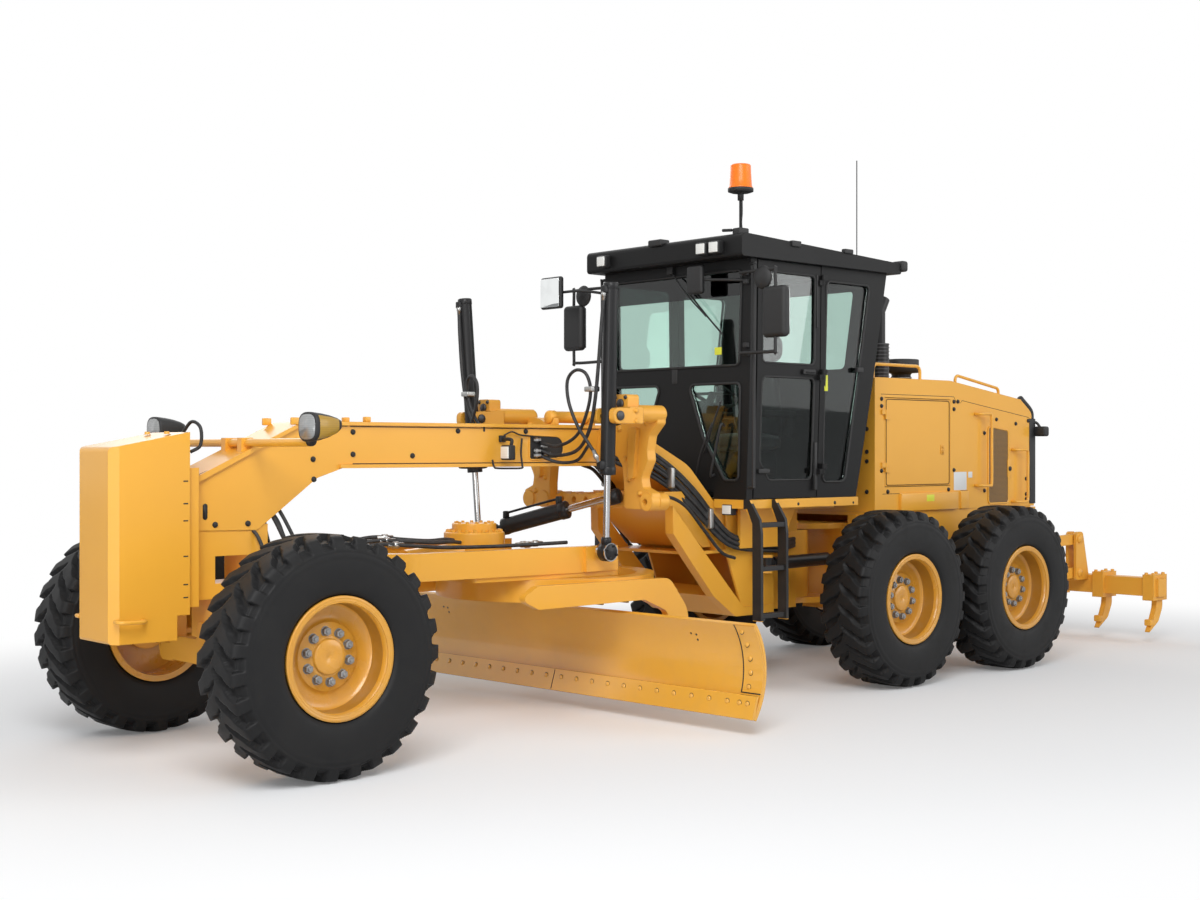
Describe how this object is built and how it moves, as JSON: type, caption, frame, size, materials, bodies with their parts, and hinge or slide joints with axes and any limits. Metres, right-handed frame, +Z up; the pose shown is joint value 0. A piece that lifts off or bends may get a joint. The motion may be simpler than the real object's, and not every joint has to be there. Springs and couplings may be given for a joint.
{
  "type": "motor grader",
  "caption": "Articulated motor grader with a front push block, a blade hung from a turning circle under the arched frame, a cab and a rear ripper.",
  "frame": {"origin": "on the ground under the middle of the machine's length, on its centre line", "axes": "+X towards the front wheels, +Y to the left, +Z up"},
  "size_m": [10.086, 3.6626, 4.06],
  "materials": {
    "yellow_paint": "satin",
    "black_paint": "satin",
    "tyre_rubber": "matte",
    "chrome_rod": "polished",
    "clear_glass": "clear",
    "seat_cloth": "woven",
    "dark_casting": "rough",
    "worn_steel": "worn",
    "cab_plastic": "grained",
    "lamp_lens": "gloss"
  },
  "bodies": {
    "rear_frame": {"rear_frame": "yellow_paint", "engine_block": "dark_casting", "engine_hood": "yellow_paint", "radiator_grille": "black_paint", "rear_axle": "yellow_paint", "exhaust_stack": "black_paint"},
    "front_frame": {"front_frame": "yellow_paint", "push_block": "yellow_paint", "front_axle": "yellow_paint", "lift_arms": "yellow_paint", "cab_platform": "yellow_paint", "cab_front_wall": "black_paint", "cab_rear_wall": "black_paint", "cab_roof": "black_paint", "cab_windows": "clear_glass", "seat": "seat_cloth", "steering_console": "cab_plastic", "mirrors": "black_paint", "lamps": "lamp_lens"},
    "moldboard": {"moldboard": "yellow_paint", "cutting_edge": "yellow_paint"},
    "wheel_front_left": {"rim_front_left": "yellow_paint", "tyre_front_left": "tyre_rubber"},
    "wheel_front_right": {"rim_front_right": "yellow_paint", "tyre_front_right": "tyre_rubber"},
    "wheel_tandem_front_left": {"rim_tandem_front_left": "yellow_paint", "tyre_tandem_front_left": "tyre_rubber"},
    "wheel_tandem_front_right": {"rim_tandem_front_right": "yellow_paint", "tyre_tandem_front_right": "tyre_rubber"},
    "wheel_tandem_rear_left": {"rim_tandem_rear_left": "yellow_paint", "tyre_tandem_rear_left": "tyre_rubber"},
    "wheel_tandem_rear_right": {"rim_tandem_rear_right": "yellow_paint", "tyre_tandem_rear_right": "tyre_rubber"},
    "lean_yoke_left": {"lean_yoke_left": "yellow_paint"},
    "lean_yoke_right": {"lean_yoke_right": "yellow_paint"},
    "knuckle_left": {"knuckle_left": "yellow_paint"},
    "knuckle_right": {"knuckle_right": "yellow_paint"},
    "cab_door_left": {"cab_door_left": "black_paint"},
    "cab_door_right": {"cab_door_right": "black_paint"},
    "hood_door_left": {"hood_door_left": "yellow_paint"},
    "hood_door_right": {"hood_door_right": "yellow_paint"},
    "lift_barrel_left": {"lift_barrel_left": "black_paint"},
    "lift_barrel_right": {"lift_barrel_right": "black_paint"},
    "lift_rod_left": {"lift_rod_left": "chrome_rod"},
    "lift_rod_right": {"lift_rod_right": "chrome_rod"},
    "articulation_barrel_left": {"articulation_barrel_left": "yellow_paint"},
    "articulation_barrel_right": {"articulation_barrel_right": "yellow_paint"},
    "articulation_rod_left": {"articulation_rod_left": "chrome_rod"},
    "articulation_rod_right": {"articulation_rod_right": "chrome_rod"},
    "lean_bar": {"lean_bar": "yellow_paint"},
    "tie_rod_end": {"tie_rod_end": "yellow_paint"},
    "tie_rod": {"tie_rod": "yellow_paint"},
    "drawbar": {"drawbar": "yellow_paint"},
    "circle": {"circle": "yellow_paint"},
    "blade_bracket": {"blade_bracket": "yellow_paint"},
    "shift_barrel": {"shift_barrel": "black_paint"},
    "shift_rod": {"shift_rod": "chrome_rod"},
    "ripper_lower_link": {"ripper_lower_link": "yellow_paint"},
    "ripper_upper_link": {"ripper_upper_link": "yellow_paint"},
    "ripper_beam": {"ripper_beam": "yellow_paint"}
  },
  "joints": [
    {"name": "articulation", "type": "hinge", "parent": "rear_frame", "child": "front_frame", "pos_m": [-0.943, 0, 0.9], "axis": [0, 0, 1], "range_deg": [-20, 20]},
    {"name": "wheel_lean_left", "type": "hinge", "parent": "front_frame", "child": "lean_yoke_left", "pos_m": [4.207, 0.6, 0.56], "axis": [1, 0, 0], "range_deg": [-18, 18]},
    {"name": "steering_left", "type": "hinge", "parent": "lean_yoke_left", "child": "knuckle_left", "pos_m": [4.207, 0.74, 0.673], "axis": [0, 0, 1], "range_deg": [-47.5, 47.5]},
    {"name": "wheel_lean_right", "type": "hinge", "parent": "front_frame", "child": "lean_yoke_right", "pos_m": [4.207, -0.6, 0.56], "axis": [1, 0, 0], "range_deg": [-18, 18]},
    {"name": "steering_right", "type": "hinge", "parent": "lean_yoke_right", "child": "knuckle_right", "pos_m": [4.207, -0.74, 0.673], "axis": [0, 0, 1], "range_deg": [-47.5, 47.5]},
    {"name": "lean_bar_pin", "type": "hinge", "parent": "lean_yoke_left", "child": "lean_bar", "pos_m": [4.207, 0.6, 0.88], "axis": [1, 0, 0], "range_deg": [-18, 18]},
    {"name": "tie_rod_ball", "type": "hinge", "parent": "knuckle_left", "child": "tie_rod_end", "pos_m": [3.977, 0.74, 0.62], "axis": [0, 0, 1], "range_deg": [-47.5, 47.5]},
    {"name": "tie_rod_tilt", "type": "hinge", "parent": "tie_rod_end", "child": "tie_rod", "pos_m": [3.977, 0.74, 0.588], "axis": [1, 0, 0], "range_deg": [-18, 18]},
    {"name": "wheel_front_left_spin", "type": "hinge", "parent": "knuckle_left", "child": "wheel_front_left", "pos_m": [4.207, 1.04, 0.673], "axis": [0, 1, 0], "continuous": true},
    {"name": "wheel_front_right_spin", "type": "hinge", "parent": "knuckle_right", "child": "wheel_front_right", "pos_m": [4.207, -1.04, 0.673], "axis": [0, 1, 0], "continuous": true},
    {"name": "wheel_tandem_front_left_spin", "type": "hinge", "parent": "rear_frame", "child": "wheel_tandem_front_left", "pos_m": [-0.919, 1.04, 0.673], "axis": [0, 1, 0], "continuous": true},
    {"name": "wheel_tandem_front_right_spin", "type": "hinge", "parent": "rear_frame", "child": "wheel_tandem_front_right", "pos_m": [-0.919, -1.04, 0.673], "axis": [0, 1, 0], "continuous": true},
    {"name": "wheel_tandem_rear_left_spin", "type": "hinge", "parent": "rear_frame", "child": "wheel_tandem_rear_left", "pos_m": [-2.43, 1.04, 0.673], "axis": [0, 1, 0], "continuous": true},
    {"name": "wheel_tandem_rear_right_spin", "type": "hinge", "parent": "rear_frame", "child": "wheel_tandem_rear_right", "pos_m": [-2.43, -1.04, 0.673], "axis": [0, 1, 0], "continuous": true},
    {"name": "drawbar_lift", "type": "hinge", "parent": "front_frame", "child": "drawbar", "pos_m": [3.907, 0, 0.975], "axis": [0, 1, 0], "range_deg": [-18, 7]},
    {"name": "circle_turn", "type": "hinge", "parent": "drawbar", "child": "circle", "pos_m": [1.707, 0, 0.875], "axis": [0, 0, 1], "range_deg": [-35, 35]},
    {"name": "blade_tilt", "type": "hinge", "parent": "circle", "child": "blade_bracket", "pos_m": [1.24755, -0.02247, 0.33], "axis": [-0.0489, 0.9988, 0], "range_deg": [-8, 38]},
    {"name": "blade_side_shift", "type": "slide", "parent": "blade_bracket", "child": "moldboard", "axis": [-0.0489, 0.9988, 0], "range_m": [-0.52, 0.66]},
    {"name": "lift_swing_left", "type": "hinge", "parent": "front_frame", "child": "lift_barrel_left", "pos_m": [1.782, 0.739, 2.03], "axis": [0, 1, 0], "range_deg": [-3.6, 3.6]},
    {"name": "lift_stroke_left", "type": "slide", "parent": "lift_barrel_left", "child": "lift_rod_left", "axis": [0.0296, 0.0592, 0.9978], "range_m": [-0.75, 0.32]},
    {"name": "lift_swing_right", "type": "hinge", "parent": "front_frame", "child": "lift_barrel_right", "pos_m": [1.782, -0.739, 2.03], "axis": [0, 1, 0], "range_deg": [-3.6, 3.6]},
    {"name": "lift_stroke_right", "type": "slide", "parent": "lift_barrel_right", "child": "lift_rod_right", "axis": [0.0296, -0.0592, 0.9978], "range_m": [-0.75, 0.32]},
    {"name": "shift_swing", "type": "hinge", "parent": "drawbar", "child": "shift_barrel", "pos_m": [1.707, -0.56, 1.225], "axis": [-0.8797, -0.3989, 0.2589], "range_deg": [-60, 60]},
    {"name": "shift_stroke", "type": "slide", "parent": "shift_barrel", "child": "shift_rod", "axis": [-0.3823, 0.8887, 0.2532], "range_m": [-0.3, 0.45]},
    {"name": "articulation_swing_left", "type": "hinge", "parent": "front_frame", "child": "articulation_barrel_left", "pos_m": [-0.043, 0.53, 0.945], "axis": [0, 0, 1], "range_deg": [-12, 12]},
    {"name": "articulation_stroke_left", "type": "slide", "parent": "articulation_barrel_left", "child": "articulation_rod_left", "axis": [-0.9937, -0.1123, 0], "range_m": [-0.25, 0.25]},
    {"name": "articulation_swing_right", "type": "hinge", "parent": "front_frame", "child": "articulation_barrel_right", "pos_m": [-0.043, -0.53, 0.945], "axis": [0, 0, 1], "range_deg": [-12, 12]},
    {"name": "articulation_stroke_right", "type": "slide", "parent": "articulation_barrel_right", "child": "articulation_rod_right", "axis": [-0.9937, 0.1123, 0], "range_m": [-0.25, 0.25]},
    {"name": "ripper_lift", "type": "hinge", "parent": "rear_frame", "child": "ripper_lower_link", "pos_m": [-3.778, 0, 0.6], "axis": [0, 1, 0], "range_deg": [-20, 30]},
    {"name": "ripper_upper_pin", "type": "hinge", "parent": "rear_frame", "child": "ripper_upper_link", "pos_m": [-3.778, 0, 0.92], "axis": [0, 1, 0], "range_deg": [-20, 30]},
    {"name": "ripper_beam_pin", "type": "hinge", "parent": "ripper_lower_link", "child": "ripper_beam", "pos_m": [-4.693, 0, 0.63], "axis": [0, 1, 0], "range_deg": [-30, 20]},
    {"name": "cab_door_left_hinge", "type": "hinge", "parent": "front_frame", "child": "cab_door_left", "pos_m": [-0.368, 0.797, 2.3], "axis": [0, 0, 1], "range_deg": [0, 100]},
    {"name": "hood_door_left_hinge", "type": "hinge", "parent": "rear_frame", "child": "hood_door_left", "pos_m": [-1.445, 0.563, 1.865], "axis": [0, 0, -1], "range_deg": [0, 90]},
    {"name": "cab_door_right_hinge", "type": "hinge", "parent": "front_frame", "child": "cab_door_right", "pos_m": [-0.368, -0.797, 2.3], "axis": [0, 0, -1], "range_deg": [0, 100]},
    {"name": "hood_door_right_hinge", "type": "hinge", "parent": "rear_frame", "child": "hood_door_right", "pos_m": [-1.445, -0.563, 1.865], "axis": [0, 0, 1], "range_deg": [0, 90]}
  ],
  "couplings": [
    {"joint": "wheel_lean_right", "follows": "wheel_lean_left", "ratio": 1},
    {"joint": "steering_right", "follows": "steering_left", "ratio": 1},
    {"joint": "lean_bar_pin", "follows": "wheel_lean_left", "ratio": -1},
    {"joint": "tie_rod_ball", "follows": "steering_left", "ratio": -1},
    {"joint": "tie_rod_tilt", "follows": "wheel_lean_left", "ratio": -0.814},
    {"joint": "lift_swing_left", "follows": "drawbar_lift", "ratio": 0.145},
    {"joint": "lift_stroke_left", "follows": "drawbar_lift", "m_per_rad": 2.135},
    {"joint": "lift_swing_right", "follows": "drawbar_lift", "ratio": 0.145},
    {"joint": "lift_stroke_right", "follows": "drawbar_lift", "m_per_rad": 2.135},
    {"joint": "shift_swing", "follows": "drawbar_lift", "ratio": 2.15},
    {"joint": "shift_stroke", "follows": "drawbar_lift", "m_per_rad": -0.85},
    {"joint": "articulation_swing_left", "follows": "articulation", "ratio": -0.175},
    {"joint": "articulation_stroke_left", "follows": "articulation", "m_per_rad": -0.425},
    {"joint": "articulation_swing_right", "follows": "articulation", "ratio": -0.175},
    {"joint": "articulation_stroke_right", "follows": "articulation", "m_per_rad": 0.425},
    {"joint": "ripper_upper_pin", "follows": "ripper_lift", "ratio": 1},
    {"joint": "ripper_beam_pin", "follows": "ripper_lift", "ratio": -1}
  ]
}
